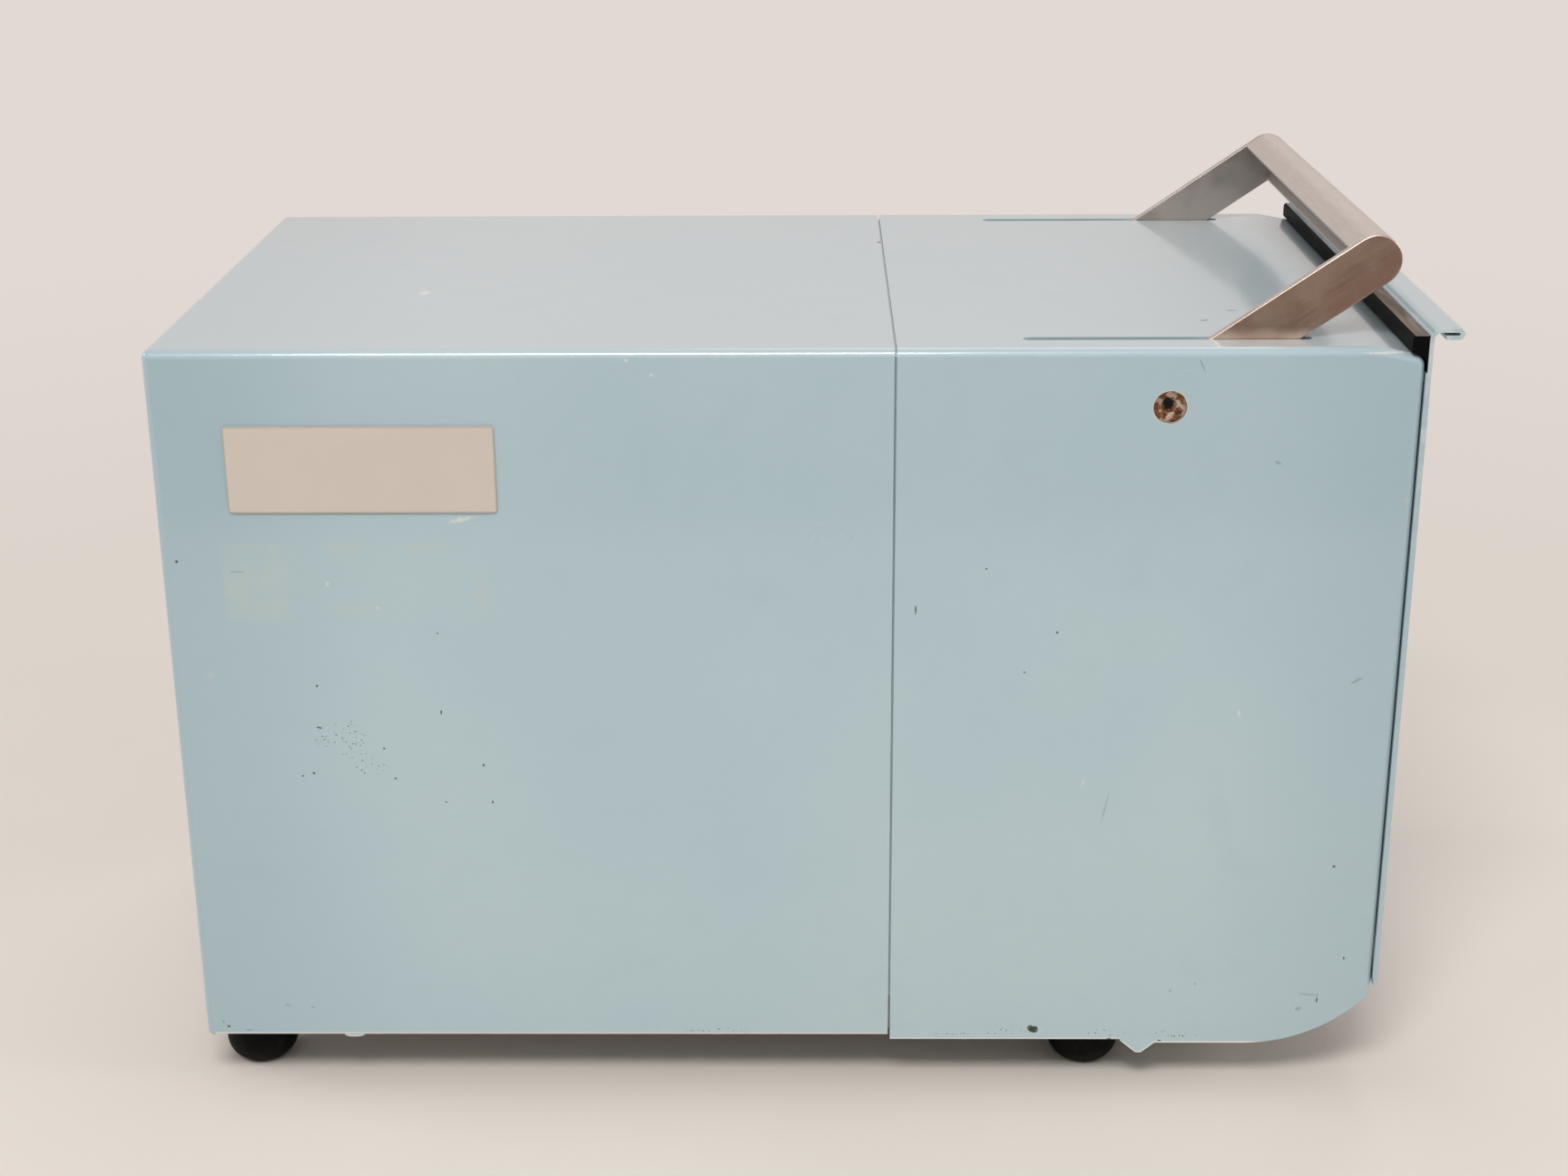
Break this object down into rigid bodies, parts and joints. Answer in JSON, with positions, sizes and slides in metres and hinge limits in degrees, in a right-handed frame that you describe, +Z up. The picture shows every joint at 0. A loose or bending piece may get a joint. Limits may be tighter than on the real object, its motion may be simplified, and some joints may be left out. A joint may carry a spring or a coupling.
{
  "type": "paddle blender homogenizer",
  "caption": "Bench homogenizer: a boxy sheet-metal body with a tilting front door, worked by a bail handle, and two paddles that knead a sample bag.",
  "frame": {"origin": "on the bench under the middle of the machine", "axes": "+X towards the door, +Y to the user's right as they face the door, +Z up"},
  "size_m": [0.435, 0.2307, 0.3091],
  "materials": {
    "paint": "semi-gloss",
    "stainless": "brushed",
    "plated_steel": "satin",
    "rusty_steel": "rusted",
    "screw_steel": "satin",
    "rubber": "matt",
    "badge": "satin",
    "aluminium": "satin",
    "bronze": "satin",
    "dark_plastic": "matt",
    "panel_steel": "satin",
    "knob_plastic": "gloss",
    "lamp_lens": "gloss"
  },
  "bodies": {
    "chassis": {"base_tray": "plated_steel", "rear_cover": "paint", "front_cover": "paint", "foot_rear_left": "rubber", "foot_rear_right": "rubber", "foot_front_left": "rubber", "foot_front_right": "rubber", "case_screws": "screw_steel", "cover_spacers": "plated_steel", "badge_plate": "badge", "chamber_liner": "stainless", "bulkhead": "plated_steel", "sill": "plated_steel", "frame_plate_left": "plated_steel", "frame_plate_right": "plated_steel", "pivot_studs": "plated_steel", "pivot_screws": "rusty_steel", "hinge_pins": "plated_steel", "rod_bushes": "bronze", "rod_seals": "rubber", "crank_bracket_left": "plated_steel", "crank_bracket_right": "plated_steel", "crank_bearings": "plated_steel", "drive_belt": "rubber", "motor_body": "aluminium", "motor_bells": "aluminium", "motor_cradle": "plated_steel", "run_capacitor": "aluminium", "terminal_block": "dark_plastic", "control_recess": "panel_steel", "timer_body": "dark_plastic", "switch_body": "dark_plastic", "pilot_lamp": "lamp_lens", "mains_inlet": "dark_plastic", "fuse_holder": "dark_plastic"},
    "handle": {"handle_arm_left": "stainless", "handle_arm_right": "stainless", "handle_grip": "stainless", "pivot_bushes": "bronze", "cam_pins": "plated_steel"},
    "door": {"door_panel": "paint", "door_liner": "stainless", "door_arm_left": "plated_steel", "door_arm_right": "plated_steel", "door_gasket": "rubber", "door_nuts": "plated_steel"},
    "crank": {"crankshaft": "plated_steel", "crank_pulley": "aluminium", "crank_rollers": "plated_steel"},
    "paddle_set_left": {"paddle_left": "stainless", "yoke_left": "aluminium", "guide_rods_left": "stainless"},
    "paddle_set_right": {"paddle_right": "stainless", "yoke_right": "aluminium", "guide_rods_right": "stainless"},
    "rotor": {"motor_rotor": "plated_steel", "motor_pulley": "aluminium", "cooling_fan": "dark_plastic"},
    "knob": {"timer_knob": "knob_plastic"},
    "rocker": {"power_rocker": "knob_plastic"}
  },
  "joints": [
    {"name": "handle_swing", "type": "hinge", "parent": "chassis", "child": "handle", "pos_m": [0.1217, 0, 0.2547], "axis": [0, -1, 0], "range_deg": [0, 111]},
    {"name": "door_tilt", "type": "hinge", "parent": "chassis", "child": "door", "pos_m": [0.19, 0, 0.04], "axis": [0, 1, 0], "range_deg": [0, 17]},
    {"name": "crank_turn", "type": "hinge", "parent": "chassis", "child": "crank", "pos_m": [0.02, 0, 0.14], "axis": [0, 1, 0], "range_deg": [-60, 60]},
    {"name": "paddle_left_slide", "type": "slide", "parent": "chassis", "child": "paddle_set_left", "axis": [1, 0, 0], "range_m": [-0.011, 0.011]},
    {"name": "paddle_right_slide", "type": "slide", "parent": "chassis", "child": "paddle_set_right", "axis": [1, 0, 0], "range_m": [-0.011, 0.011]},
    {"name": "motor_spin", "type": "hinge", "parent": "chassis", "child": "rotor", "pos_m": [-0.12, 0, 0.098], "axis": [0, 1, 0], "continuous": true},
    {"name": "timer_knob_turn", "type": "hinge", "parent": "chassis", "child": "knob", "pos_m": [-0.0605, 0.10845, 0.205], "axis": [0, -1, 0], "range_deg": [0, 300]},
    {"name": "power_rocker_tilt", "type": "hinge", "parent": "chassis", "child": "rocker", "pos_m": [-0.0265, 0.09945, 0.205], "axis": [1, 0, 0], "range_deg": [0, 20]}
  ],
  "couplings": [
    {"joint": "door_tilt", "follows": "handle_swing", "ratio": 0.15315},
    {"joint": "paddle_left_slide", "follows": "crank_turn", "m_per_rad": 0.010434},
    {"joint": "paddle_right_slide", "follows": "crank_turn", "m_per_rad": -0.010434},
    {"joint": "motor_spin", "follows": "crank_turn", "ratio": 4.4909}
  ]
}
